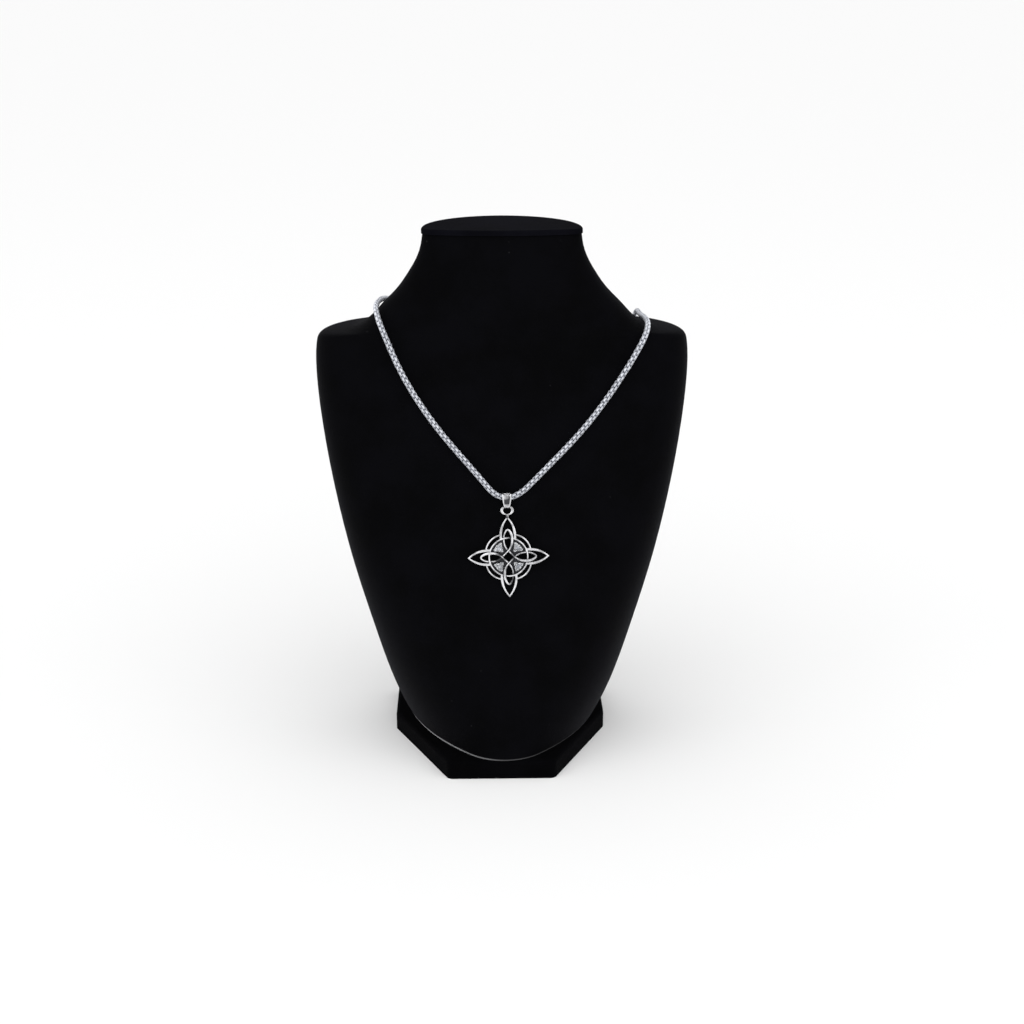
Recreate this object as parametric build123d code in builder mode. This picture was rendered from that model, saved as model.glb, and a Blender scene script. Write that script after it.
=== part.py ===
"""A four-cornered knot pendant on a box chain, shown on a plain velvet neck bust.

Millimetres, +Z up. The origin is the centre of the foot's underside, and the front faces -Y.
"""

from build123d import *
from math import acos, cos, hypot, pi, radians, sin, sqrt, tan
import os

os.makedirs("parts", exist_ok=True)

# Neck bust
bust_height = 208.2          # foot's underside to the top of the cap
shoulder_width = 144.0
neck_width = 60.2
front_lean = 11.3            # degrees that the chest leans back from upright
foot_height = 7.6
foot_width = 86.0
foot_depth = 82.0
foot_front_width = 41.6      # flat face between the two front chamfers
foot_chamfer_depth = 45.0    # how far back the chamfers run
foot_corner = 3.0            # rounding of the foot's upright edges
foot_edge = 1.4              # rounding of the foot's top edge
foot_ledge = 2.0             # foot showing beside the body's base
back_inset = 7.5             # from the foot's back to the body's flat back
body_side = 1.2              # how far the body stands to the right of the foot's middle
cap_thickness = 2.0
cap_overhang = 0.5
cap_edge = 0.6
seat_gap = 0.1               # between pieces that sit on each other
lie_gap = 0.3                # between the jewel and the velvet

# Knot
tip_span = 32.0              # from tip to tip of the outer loops
strand_width = 1.0
knot_thickness = 1.2
strand_lift = 0.35           # how far a strand stands up where it passes over
pendant_height = 87.0        # knot's centre above the foot's underside
pendant_side = 3.0           # knot's centre to the right of the foot's middle
pendant_turn = 1.5           # degrees that the knot hangs out of true
loop_half_width = 2.75       # outer pointed loops, at their widest
loop_shoulder = 8.0          # where a loop starts to narrow towards its tip
loop_tip_inset = 0.75        # from a loop's outer tip to the middle of its strand
ring_radius = 7.4
outer_arc_radius = 9.3       # the four outer arcs, at their middles
outer_arc_end = 8.7          # height of an outer arc's end beside its loop
ring_over_start = 95.0       # degrees from the right-hand arm where the ring comes up
ring_over_end = 135.0        # degrees where it is down again
crossing_radius = 2.45       # where the inner strand crosses itself
lobe_half_width = 1.6
lobe_shoulder = 7.2          # where a lobe starts to narrow towards its tip
lobe_side_radius = 5.1       # from there to the tip's own round
lobe_tip_radius = 0.7
floor_thickness = 0.4        # plate under each stone

# Stones
stone_inner = 2.6            # from the knot's centre to the stone's inner side
stone_outer = 6.45          # from the knot's centre to the two outer corners
stone_spread = 45.0          # degrees between the two outer corners
stone_corner = 0.5           # how much of each corner is cut off
stone_seat = 0.05            # gap under the stone
stone_height = 1.1
girdle_share = 0.52          # girdle's height as a share of the stone's
table_share = 0.56           # table's size as a share of the girdle's
crown_share = 0.84           # size at the break of the crown as a share of the girdle's
crown_break_rise = 0.80      # height of that break as a share of the stone's
culet_share = 0.30           # flat foot of the stone as a share of the girdle's

# Eye and bail
eye_width = 5.2
eye_height = 3.8
eye_hole_width = 3.0
eye_hole_height = 2.6
eye_thickness = 0.7
eye_offset = 18.1            # eye's centre above the knot's centre
eye_neck = 1.7               # width of the bar between the eye and the upper loop
strap_thickness = 0.35
strap_top_width = 3.5
strap_middle_width = 2.4     # where the strap meets the top of the eye
strap_bottom_width = 1.6     # where it passes through the eye
strap_clearance = 0.3        # between strap and chain
eye_clearance = 0.25         # between strap and eye
bail_length = 3.5            # from the eye's top bar to the chain's centre

# Chain and clasp
chain_diameter = 2.3
clasp_length = 12.0
clasp_diameter = 4.2
clasp_edge = 1.0
chain_entry = 1.5            # how far each end of the chain goes into the clasp
corner_share = 0.45          # share of the shorter run that a bend of the chain takes

# Body sections below the shoulders: height from base to neck, half width from
# base to shoulder, place of the widest point from front to back, and the turn
# of the front and of the back arc in degrees
torso_rows = [
    # rise, flare, widest, front, back
    (0.000, 0.000, 0.92, 42.5, 8.0),
    (0.052, 0.118, 0.81, 35.0, 8.0),
    (0.112, 0.223, 0.71, 27.0, 8.0),
    (0.213, 0.391, 0.61, 18.0, 8.0),
    (0.339, 0.600, 0.53, 12.5, 8.0),
    (0.490, 0.805, 0.47, 10.5, 8.0),
    (0.642, 0.953, 0.43, 10.0, 8.0),
    (0.742, 1.000, 0.40, 10.0, 8.0),
    (0.790, 0.984, 0.38, 10.0, 8.0),
]
# The same above the shoulders, with the half width from neck to shoulder
neck_rows = [
    # rise, flare, widest, front, back
    (0.8055, 0.961, 0.370, 10.0, 8.0),
    (0.8125, 0.872, 0.365, 10.0, 8.5),
    (0.8185, 0.660, 0.360, 10.0, 9.5),
    (0.8265, 0.562, 0.355, 10.0, 11.0),
    (0.8405, 0.477, 0.345, 10.0, 14.0),
    (0.8634, 0.377, 0.330, 10.5, 19.0),
    (0.8886, 0.260, 0.310, 11.0, 26.0),
    (0.9214, 0.146, 0.270, 11.5, 33.0),
    (0.9570, 0.051, 0.230, 12.0, 38.0),
    (0.9840, 0.012, 0.205, 12.0, 40.0),
    (1.0000, 0.000, 0.200, 12.0, 40.0),
]

lean = radians(front_lean)
base_z = foot_height + seat_gap
cap_z = bust_height - cap_thickness
neck_z = cap_z - seat_gap
foot_front = -foot_depth / 2
body_back = foot_depth / 2 - back_inset
base_half = foot_width / 2 - foot_ledge
shoulder_half = shoulder_width / 2
neck_half = neck_width / 2


def front_at(z):
    """Front centre line of the body at a height: it leans straight back from the foot."""
    return foot_front + (z - base_z) * tan(lean)


def mirrored(point):
    """The same point on the other side of the middle plane."""
    return (-point[0], point[1])


def quarter_points(half, depth, turn):
    """An arc about the middle plane that turns by an angle, and a corner arc that goes on to the side.

    Both arcs meet smoothly: their radii solve half = R sin + r (1 - sin) and
    depth = R (1 - cos) + r cos.
    """
    sine = sin(radians(turn))
    cosine = cos(radians(turn))
    spread = sine + cosine - 1
    middle_radius = (half * cosine - depth * (1 - sine)) / spread
    corner_radius = (depth * sine - half * (1 - cosine)) / spread
    bend_turn = radians((turn + 90) / 2)
    join = (middle_radius * sine, depth - middle_radius * (1 - cosine))
    bend = (half - corner_radius * (1 - sin(bend_turn)), corner_radius * cos(bend_turn))
    return join, bend


def body_outline(half, front, back, widest, front_turn, back_turn, grow=0):
    """Closed outline of the body between its front and back, with round sides."""
    side_y = front + widest * (back - front)
    front_join, front_bend = quarter_points(half + grow, side_y - front + grow, front_turn)
    back_join, back_bend = quarter_points(half + grow, back - side_y + grow, back_turn)
    front_join = (front_join[0], side_y - front_join[1])
    front_bend = (front_bend[0], side_y - front_bend[1])
    back_join = (back_join[0], side_y + back_join[1])
    back_bend = (back_bend[0], side_y + back_bend[1])
    side = (half + grow, side_y)
    with BuildLine() as outline:
        ThreePointArc(mirrored(front_join), (0, front - grow), front_join)
        ThreePointArc(front_join, front_bend, side)
        ThreePointArc(side, back_bend, back_join)
        ThreePointArc(back_join, (0, back + grow), mirrored(back_join))
        ThreePointArc(mirrored(back_join), mirrored(back_bend), mirrored(side))
        ThreePointArc(mirrored(side), mirrored(front_bend), mirrored(front_join))
    return outline.wire()


body_rows = []
for rise, flare, widest, front_turn, back_turn in torso_rows:
    body_rows.append((rise, base_half + flare * (shoulder_half - base_half), widest, front_turn, back_turn))
for rise, flare, widest, front_turn, back_turn in neck_rows:
    body_rows.append((rise, neck_half + flare * (shoulder_half - neck_half), widest, front_turn, back_turn))

with BuildPart() as bust_body:
    for rise, half, widest, front_turn, back_turn in body_rows:
        height = base_z + rise * (neck_z - base_z)
        with BuildSketch(Plane(origin=(body_side, 0, height))):
            make_face(body_outline(half, front_at(height), body_back, widest, front_turn, back_turn))
    loft()
bust_body.part.label = "bust_body"
export_step(bust_body.part, "parts/bust_body.step")

# The cap lies on the neck and stands a little proud of it all round
neck_row = body_rows[-1]
with BuildPart() as neck_cap:
    with BuildSketch(Plane(origin=(body_side, 0, cap_z))):
        make_face(body_outline(neck_row[1], front_at(neck_z), body_back, *neck_row[2:], grow=cap_overhang))
    extrude(amount=cap_thickness)
    fillet(neck_cap.edges().group_by(Axis.Z)[-1], cap_edge)
neck_cap.part.label = "neck_cap"
export_step(neck_cap.part, "parts/neck_cap.step")

with BuildPart() as bust_foot:
    with BuildSketch():
        with BuildLine():
            Polyline(
                (-foot_front_width / 2, foot_front),
                (foot_front_width / 2, foot_front),
                (foot_width / 2, foot_front + foot_chamfer_depth),
                (foot_width / 2, foot_depth / 2),
                (-foot_width / 2, foot_depth / 2),
                (-foot_width / 2, foot_front + foot_chamfer_depth),
                close=True,
            )
        make_face()
    extrude(amount=foot_height)
    fillet(bust_foot.edges().filter_by(Axis.Z), foot_corner)
    fillet(bust_foot.edges().group_by(Axis.Z)[-1], foot_edge)
bust_foot.part.label = "bust_foot"
export_step(bust_foot.part, "parts/bust_foot.step")

# The knot lies flat against the leaning chest
chest_out = Vector(0, -cos(lean), sin(lean))
knot_origin = Vector(pendant_side, front_at(pendant_height), pendant_height) + chest_out * lie_gap
knot_plane = Plane(origin=knot_origin, x_dir=(1, 0, 0), z_dir=chest_out).rotated((0, 0, pendant_turn))
strand_half = strand_width / 2
quarter_turns = (0, 90, 180, 270)
diagonal = 45


def polar(radius, angle):
    """Point at a distance and an angle in degrees from the knot's centre."""
    return (radius * cos(radians(angle)), radius * sin(radians(angle)))


# Outer pointed loop: its sides rise upright from the ring, and two arcs meet at the tip
loop_foot = sqrt(ring_radius ** 2 - loop_half_width ** 2)
loop_tip = tip_span / 2 - loop_tip_inset
loop_radius = (loop_half_width ** 2 + (loop_tip - loop_shoulder) ** 2) / (2 * loop_half_width)
loop_inset = loop_radius - loop_half_width


def loop_outline(grow):
    """Outline of the upper pointed loop, moved outwards by a distance."""
    radius = loop_radius + grow
    sweep = acos(loop_inset / radius)
    foot = (loop_half_width + grow, loop_foot)
    shoulder = (loop_half_width + grow, loop_shoulder)
    bend = (radius * cos(sweep / 2) - loop_inset, loop_shoulder + radius * sin(sweep / 2))
    tip = (0, loop_shoulder + radius * sin(sweep))
    with BuildLine() as outline:
        Line(foot, shoulder)
        ThreePointArc(shoulder, bend, tip)
        ThreePointArc(tip, mirrored(bend), mirrored(shoulder))
        Line(mirrored(shoulder), mirrored(foot))
        Line(mirrored(foot), foot)
    return outline.wire()


with BuildSketch() as loop_band:
    make_face(loop_outline(strand_half))
    make_face(loop_outline(-strand_half), mode=Mode.SUBTRACT)

with BuildSketch() as ring_band:
    Circle(ring_radius + strand_half)
    Circle(ring_radius - strand_half, mode=Mode.SUBTRACT)

with BuildSketch() as outer_arc_band:
    with BuildLine():
        ThreePointArc(
            (loop_half_width, outer_arc_end),
            polar(outer_arc_radius, diagonal),
            (outer_arc_end, loop_half_width),
        )
    trace(line_width=strand_width)

# Inner strand: it leaves each crossing on the diagonal and bends upright into its lobe
lobe_turn = radians(diagonal)
lobe_radius = lobe_half_width / (1 - cos(lobe_turn))
lobe_foot = crossing_radius + lobe_radius * sin(lobe_turn)
lobe_inset = lobe_side_radius - lobe_half_width
lobe_tip_turn = acos(lobe_inset / (lobe_side_radius - lobe_tip_radius))
lobe_tip_centre = lobe_shoulder + (lobe_side_radius - lobe_tip_radius) * sin(lobe_tip_turn)
lobe_side_bend = (
    lobe_side_radius * cos(lobe_tip_turn / 2) - lobe_inset,
    lobe_shoulder + lobe_side_radius * sin(lobe_tip_turn / 2),
)
lobe_side_end = (
    lobe_tip_radius * cos(lobe_tip_turn),
    lobe_tip_centre + lobe_tip_radius * sin(lobe_tip_turn),
)
lobe_tip = (0, lobe_tip_centre + lobe_tip_radius)
lobe_bend = (
    lobe_half_width - lobe_radius * (1 - cos(lobe_turn / 2)),
    lobe_foot - lobe_radius * sin(lobe_turn / 2),
)
crossing = (0, crossing_radius)
next_crossing = (crossing_radius, 0)

with BuildSketch() as rising_band:
    with BuildLine():
        ThreePointArc(crossing, lobe_bend, (lobe_half_width, lobe_foot))
        Line((lobe_half_width, lobe_foot), (lobe_half_width, lobe_shoulder))
        ThreePointArc((lobe_half_width, lobe_shoulder), lobe_side_bend, lobe_side_end)
    trace(line_width=strand_width)

with BuildSketch() as lobe_band:
    add(rising_band.sketch)
    with BuildLine():
        ThreePointArc(lobe_side_end, lobe_tip, mirrored(lobe_side_end))
        ThreePointArc(mirrored(lobe_side_end), mirrored(lobe_side_bend), (-lobe_half_width, lobe_shoulder))
        Line((-lobe_half_width, lobe_shoulder), (-lobe_half_width, lobe_foot))
        ThreePointArc((-lobe_half_width, lobe_foot), mirrored(lobe_bend), crossing)
        Line(crossing, next_crossing)
    trace(line_width=strand_width)

with BuildSketch() as ring_over_band:
    with BuildLine():
        ThreePointArc(
            polar(ring_radius, ring_over_start),
            polar(ring_radius, (ring_over_start + ring_over_end) / 2),
            polar(ring_radius, ring_over_end),
        )
    trace(line_width=strand_width)

# The four cells between the lobes and the ring have a floor, and each holds a stone
cell_side = sqrt(ring_radius ** 2 - lobe_half_width ** 2)


def swapped(point):
    """The same point on the other side of the cell's middle line."""
    return (point[1], point[0])


with BuildSketch() as cell_floor:
    with BuildLine():
        ThreePointArc(
            (lobe_half_width, cell_side),
            polar(ring_radius, diagonal),
            (cell_side, lobe_half_width),
        )
        Line((cell_side, lobe_half_width), (lobe_foot, lobe_half_width))
        ThreePointArc((lobe_foot, lobe_half_width), swapped(lobe_bend), next_crossing)
        Line(next_crossing, crossing)
        ThreePointArc(crossing, lobe_bend, (lobe_half_width, lobe_foot))
        Line((lobe_half_width, lobe_foot), (lobe_half_width, cell_side))
    make_face()

# The bail wraps the bar at the top of the eye, and lies flat against the chest behind it
bar_offset = eye_offset + (eye_height + eye_hole_height) / 4
bar_half = hypot(eye_thickness, (eye_height - eye_hole_height) / 2) / 2
bail_foot_radius = bar_half + eye_clearance
bail_head_radius = chain_diameter / 2 + strap_clearance
bar_lift = bail_foot_radius + strap_thickness
chain_lift = bail_head_radius + strap_thickness
chain_offset = bar_offset + bail_length

with BuildPart() as pendant_knot:
    with BuildSketch(knot_plane):
        for turn in quarter_turns:
            add(loop_band.sketch, rotation=turn)
        add(ring_band.sketch)
        for turn in quarter_turns:
            add(outer_arc_band.sketch, rotation=turn)
            add(lobe_band.sketch, rotation=turn)
        with Locations((0, (loop_tip + eye_offset - eye_height / 2) / 2)):
            Rectangle(eye_neck, eye_offset - eye_height / 2 - loop_tip + strand_width)
    extrude(amount=knot_thickness)
    with BuildSketch(knot_plane):
        for turn in quarter_turns:
            add(rising_band.sketch, rotation=turn)
            add(ring_over_band.sketch, rotation=turn)
    extrude(amount=knot_thickness + strand_lift)
    with BuildSketch(knot_plane):
        for turn in quarter_turns:
            add(cell_floor.sketch, rotation=turn)
    extrude(amount=floor_thickness)
    with BuildSketch(knot_plane.offset(bar_lift - eye_thickness / 2)):
        with Locations((0, eye_offset)):
            Ellipse(eye_width / 2, eye_height / 2)
            Ellipse(eye_hole_width / 2, eye_hole_height / 2, mode=Mode.SUBTRACT)
    extrude(amount=eye_thickness)
pendant_knot.part.label = "pendant_knot"
export_step(pendant_knot.part, "parts/pendant_knot.step")


def between(start, end, distance):
    """Point on the way from one point to another."""
    share = distance / hypot(end[0] - start[0], end[1] - start[1])
    return (start[0] + share * (end[0] - start[0]), start[1] + share * (end[1] - start[1]))


# Stone outline: three corners, each cut off, and a break in the middle of the outer side
inner_corner = polar(stone_inner, diagonal)
left_corner = polar(stone_outer, diagonal + stone_spread / 2)
right_corner = polar(stone_outer, diagonal - stone_spread / 2)
outer_break = polar(stone_outer, diagonal)
stone_outline = (
    between(inner_corner, right_corner, stone_corner),
    between(right_corner, inner_corner, stone_corner),
    between(right_corner, outer_break, stone_corner),
    outer_break,
    between(left_corner, outer_break, stone_corner),
    between(left_corner, inner_corner, stone_corner),
    between(inner_corner, left_corner, stone_corner),
)
stone_middle = polar((stone_inner + 2 * stone_outer * cos(radians(stone_spread / 2))) / 3, diagonal)
stone_levels = ((0, culet_share), (girdle_share, 1), (crown_break_rise, crown_share), (1, table_share))
stone_names = ("stone_upper_right", "stone_upper_left", "stone_lower_left", "stone_lower_right")


def stone_section(share):
    """The stone's outline, drawn in about its middle."""
    corners = []
    for point in stone_outline:
        x = stone_middle[0] + share * (point[0] - stone_middle[0])
        y = stone_middle[1] + share * (point[1] - stone_middle[1])
        corners.append((x, y))
    with BuildSketch() as section:
        with BuildLine():
            Polyline(*corners, close=True)
        make_face()
    return section.sketch


for name, turn in zip(stone_names, quarter_turns):
    with BuildPart() as stone:
        for rise, share in stone_levels:
            level = floor_thickness + stone_seat + rise * stone_height
            with BuildSketch(knot_plane.offset(level)):
                add(stone_section(share), rotation=turn)
        loft(ruled=True)
    stone.part.label = name
    export_step(stone.part, "parts/" + name + ".step")

# Bail seen from the side: one plane holds its band, another its taper
side_plane = Plane(origin=knot_plane.origin, x_dir=knot_plane.z_dir, z_dir=-knot_plane.x_dir)


def bail_outline(grow):
    """Band round the eye's bar and the chain, seen from the side, moved outwards by a distance."""
    with BuildSketch() as outline:
        with Locations((bar_lift, bar_offset)):
            Circle(bail_foot_radius + grow)
        with Locations((chain_lift, chain_offset)):
            Circle(bail_head_radius + grow)
        make_hull()
    return outline.sketch


with BuildPart() as bail:
    with BuildSketch(side_plane):
        add(bail_outline(strap_thickness))
        add(bail_outline(0), mode=Mode.SUBTRACT)
    extrude(amount=strap_top_width / 2, both=True)
    with BuildSketch(knot_plane):
        with BuildLine():
            strap_side = [
                (strap_top_width / 2, chain_offset + chain_diameter),
                (strap_top_width / 2, chain_offset),
                (strap_middle_width / 2, eye_offset + eye_height / 2),
                (strap_bottom_width / 2, eye_offset + eye_hole_height / 2),
                (strap_bottom_width / 2, eye_offset),
            ]
            Polyline(*strap_side, *(mirrored(point) for point in reversed(strap_side)), close=True)
        make_face()
    extrude(amount=2 * chain_lift + strap_thickness, both=True, mode=Mode.INTERSECT)
bail.part.label = "bail"
export_step(bail.part, "parts/bail.step")

# The chain's way round the bust, from one end in the clasp to the other: up the
# back, over a shoulder, down the chest, through the bail, and back the same way
chain_route = [
    (-4.5, 35.9, 87.4),
    (-11.0, 35.9, 87.4),
    (-18.5, 35.5, 92.5),
    (-26.5, 34.6, 108.0),
    (-33.0, 33.9, 130.0),
    (-37.0, 33.4, 152.0),
    (-39.5, 33.3, 169.5),
    (-42.0, 28.0, 176.0),
    (-44.9, 17.5, 179.0),
    (-47.0, 6.0, 179.4),
    (-46.8, -1.4, 177.4),
    (-43.9, -7.5, 170.9),
    (-36.6, -11.5, 154.2),
    (-24.8, -15.9, 136.4),
    (-8.7, -20.7, 118.5),
    (-1.5, -22.8, 110.0),
    (6.3, -22.8, 110.1),
    (15.0, -20.6, 118.3),
    (33.2, -15.4, 136.0),
    (46.8, -10.1, 154.2),
    (55.0, -8.0, 168.3),
    (56.9, -2.0, 172.6),
    (56.5, 8.0, 172.9),
    (55.6, 16.2, 171.9),
    (54.9, 31.9, 171.4),
    (53.2, 31.8, 156.0),
    (49.5, 32.4, 140.0),
    (42.5, 33.4, 119.0),
    (32.5, 34.4, 101.5),
    (21.0, 35.4, 90.5),
    (11.0, 35.9, 87.4),
    (4.5, 35.9, 87.4),
]


def bend_radii(route):
    """Radius of each bend: the same share of its shorter run, over the tangent of half its turn."""
    radii = []
    for before, at, after in zip(route, route[1:], route[2:]):
        coming = Vector(*at) - Vector(*before)
        leaving = Vector(*after) - Vector(*at)
        half_turn = radians(coming.get_angle(leaving)) / 2
        radii.append(corner_share * min(coming.length, leaving.length) / tan(half_turn))
    return radii


chain_radii = bend_radii(chain_route)
with BuildPart() as chain:
    with BuildLine() as chain_path:
        FilletPolyline(*chain_route, radius=chain_radii)
    with BuildSketch(Plane(origin=chain_path.line @ 0, z_dir=chain_path.line % 0)):
        Circle(chain_diameter / 2)
    sweep()
chain.part.label = "chain"
export_step(chain.part, "parts/chain.step")
chain_length = chain_path.wire().length
tube_volume = pi * chain_diameter ** 2 / 4 * chain_length
print("bend radii", [round(radius, 1) for radius in chain_radii])
print("chain length", round(chain_length, 1), "volume share", round(chain.part.volume / tube_volume, 4))

# The clasp hangs lowest, and takes an end of the chain in each of its two sockets
clasp_start = Vector(*chain_route[0]) - Vector(clasp_length / 2 + chain_route[0][0], 0, 0)
clasp_plane = Plane(origin=clasp_start, z_dir=(1, 0, 0))
with BuildPart() as clasp:
    with BuildSketch(clasp_plane):
        Circle(clasp_diameter / 2)
    extrude(amount=clasp_length)
    fillet(clasp.edges(), clasp_edge)
    with BuildSketch(clasp_plane):
        Circle(chain_diameter / 2 + strap_clearance)
    extrude(amount=chain_entry + seat_gap, mode=Mode.SUBTRACT)
    with BuildSketch(clasp_plane.offset(clasp_length - chain_entry - seat_gap)):
        Circle(chain_diameter / 2 + strap_clearance)
    extrude(amount=chain_entry + seat_gap, mode=Mode.SUBTRACT)
clasp.part.label = "clasp"
export_step(clasp.part, "parts/clasp.step")
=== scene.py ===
# %% [markdown]
# # A knot pendant on a velvet neck bust
#
# This lesson dresses a small piece of jewellery in Blender: a cast knot with four
# clear stones, its bail, a box chain, and the black velvet bust that they lie on.
# The solids come from a CAD model and are loaded first. They stay where they are,
# and everything that is made here is measured from them.

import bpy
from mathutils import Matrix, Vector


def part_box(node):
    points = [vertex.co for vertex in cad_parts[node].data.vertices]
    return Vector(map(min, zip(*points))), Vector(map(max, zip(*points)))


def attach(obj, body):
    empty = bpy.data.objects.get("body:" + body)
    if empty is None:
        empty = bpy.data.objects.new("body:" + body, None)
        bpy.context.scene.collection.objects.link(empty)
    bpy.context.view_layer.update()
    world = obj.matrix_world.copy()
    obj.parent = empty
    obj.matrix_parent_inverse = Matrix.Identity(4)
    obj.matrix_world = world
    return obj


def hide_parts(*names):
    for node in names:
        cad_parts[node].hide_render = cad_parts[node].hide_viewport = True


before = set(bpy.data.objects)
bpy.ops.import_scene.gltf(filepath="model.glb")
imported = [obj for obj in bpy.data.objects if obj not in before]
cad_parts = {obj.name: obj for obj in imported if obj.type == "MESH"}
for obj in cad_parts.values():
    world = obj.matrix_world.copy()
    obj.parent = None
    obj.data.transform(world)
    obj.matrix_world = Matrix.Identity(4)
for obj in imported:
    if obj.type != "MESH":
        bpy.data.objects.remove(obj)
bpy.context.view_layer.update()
print("solids:", ", ".join(sorted(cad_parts)))

# %% Modules and units
from math import acos, atan2, cos, degrees, hypot, pi, radians, sin, sqrt

import bpy
import numpy as np
from mathutils import Vector

mm = 0.001
random = np.random.default_rng(7)


def add_object(name, data):
    """A new object with some data, linked into the scene."""
    made = bpy.data.objects.new(name, data)
    bpy.context.scene.collection.objects.link(made)
    return made


# %% [markdown]
# ## The camera
#
# The camera comes first, because every later look at the work goes through it. It
# stands a little above the bust and 0.63 m in front of it, as the photograph's did.
# The lens follows from how fast the bust narrows towards its foot in the picture: a
# nearer camera with a wider lens would make the shoulders bulge over the foot.

# %% Camera
camera_place = Vector((-8.17 * mm, -633.3 * mm, 316.8 * mm))
camera_down = radians(19.19)
camera_right = radians(1.18)
lens_mm = 59.51
sensor_mm = 36.0

camera_data = bpy.data.cameras.new("camera")
camera_data.lens = lens_mm
camera_data.sensor_width = sensor_mm
camera_data.clip_start = 10 * mm
camera_data.clip_end = 50.0
camera = add_object("camera", camera_data)
camera.location = camera_place
camera.rotation_euler = (pi / 2 - camera_down, 0, -camera_right)
bpy.context.scene.camera = camera
print("camera at", [round(value / mm) for value in camera_place], "mm, lens", lens_mm, "mm")

# %% [markdown]
# ## Surfaces from grids
#
# Every new piece below is a grid of points: its rows go along a path and its columns
# go round a profile. Working the grid out as one numpy array keeps each shape a
# formula that can be read and changed. These helpers turn such an array into a mesh.
# A closed shell has a positive volume when its faces point outwards, so that sum
# tells whether the faces have to be turned round.


# %% Grid helpers
def grid_quads(rows, columns, closed_rows):
    """Corner numbers of a grid's quads. Each joins a point, the one after it and the two beside them."""
    row = np.arange(rows if closed_rows else rows - 1)[:, None]
    column = np.arange(columns)[None, :]
    row_after = (row + 1) % rows
    column_after = (column + 1) % columns
    corners = (
        row * columns + column,
        row_after * columns + column,
        row_after * columns + column_after,
        row * columns + column_after,
    )
    return np.stack(corners, axis=-1).reshape(-1, 4)


def shell_volume(points, quads):
    """Signed volume of a closed shell: the sum, over its triangles, of a·(b×c) / 6."""
    a, b, c, d = (points[quads[:, corner]] for corner in range(4))
    return (a * (np.cross(b, c) + np.cross(c, d))).sum() / 6


class Shells:
    """Collects closed shells, with a value at each point, and makes them one mesh."""

    def __init__(self):
        self.points = []
        self.faces = []
        self.values = []
        self.count = 0

    def add(self, grid, value, closed=True):
        """Adds a grid of shape (rows, columns, 3), turned outwards. Where its last row doesn't join the
        first, each end gets a face, which goes round the other way than the quads beside it."""
        rows, columns = grid.shape[:2]
        points = grid.reshape(-1, 3)
        quads = grid_quads(rows, columns, closed)
        middle = points.mean(axis=0)
        inside_out = shell_volume(points - middle, quads) < 0
        if inside_out:
            quads = quads[:, ::-1]
        faces = quads.tolist()
        if not closed:
            first = list(range(columns))
            last = [(rows - 1) * columns + number for number in range(columns)]
            faces.append(first[::-1] if inside_out else first)
            faces.append(last if inside_out else last[::-1])
        self.faces.extend([[corner + self.count for corner in face] for face in faces])
        self.points.append(points)
        self.values.append(np.broadcast_to(value, (rows, columns)).reshape(-1))
        self.count += len(points)

    def to_object(self, name, sharp_degrees):
        """One mesh object at the origin, smooth except across edges sharper than an angle. Its points
        carry the value, a share of dark patina and painted shade, as a point attribute."""
        mesh = bpy.data.meshes.new(name)
        mesh.from_pydata(np.concatenate(self.points).tolist(), [], self.faces)
        layer = mesh.attributes.new("patina_and_shade", "FLOAT", "POINT")
        layer.data.foreach_set("value", np.concatenate(self.values).astype(np.float32))
        mesh.validate()
        mesh.shade_smooth()
        mesh.set_sharp_from_angle(angle=radians(sharp_degrees))
        made = add_object(name, mesh)
        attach(made, "root")
        print(name, "has", len(mesh.vertices), "points and", len(mesh.polygons), "faces")
        return made


# %% [markdown]
# ## Shared effects
#
# Cast silver, strap, chain and clasp all carry the same kind of fine unevenness: a
# slow change of tone where fingers have polished or dulled the metal, and a fine
# grain left by casting and tumbling. One node group holds both, and each material
# sets its scale. The group gives out only masks and heights. The shader stays in
# each material, where its own fixed values can be read.


# %% Node helpers
def value_socket(group, name, direction, default=0.0):
    """A float socket of a node group."""
    socket = group.interface.new_socket(name=name, in_out=direction, socket_type="NodeSocketFloat")
    if direction == "INPUT":
        socket.default_value = default
    return socket


def feed(tree, node, sides):
    """Fills inputs of a node. Each side of the dictionary is a socket to link or a plain value."""
    for name, side in sides.items():
        if isinstance(side, bpy.types.NodeSocket):
            tree.links.new(side, node.inputs[name])
        else:
            node.inputs[name].default_value = side


def object_place(tree):
    """The place of each shaded point in its own object, in metres."""
    return tree.nodes.new("ShaderNodeTexCoord").outputs["Object"]


def axes_of(tree, vector):
    """The X, Y and Z sockets of a vector."""
    node = tree.nodes.new("ShaderNodeSeparateXYZ")
    feed(tree, node, {"Vector": vector})
    return node.outputs


def noise(tree, scale, detail, roughness=0.5):
    """A noise on object coordinates, between 0 and 1."""
    node = tree.nodes.new("ShaderNodeTexNoise")
    sides = {"Vector": object_place(tree), "Scale": scale, "Detail": detail, "Roughness": roughness}
    feed(tree, node, sides)
    return node.outputs["Fac"]


def math_node(tree, operation, first, second=0.0):
    """A maths node. Each side is a socket or a plain number."""
    node = tree.nodes.new("ShaderNodeMath")
    node.operation = operation
    feed(tree, node, {0: first, 1: second})
    return node.outputs["Value"]


def ramp_between(tree, value, low, high, to_low=0.0, to_high=1.0):
    """A value spread smoothly from one range to another, and held at the ends."""
    node = tree.nodes.new("ShaderNodeMapRange")
    node.interpolation_type = "SMOOTHSTEP"
    sides = {"Value": value, "From Min": low, "From Max": high, "To Min": to_low, "To Max": to_high}
    feed(tree, node, sides)
    return node.outputs["Result"]


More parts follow.
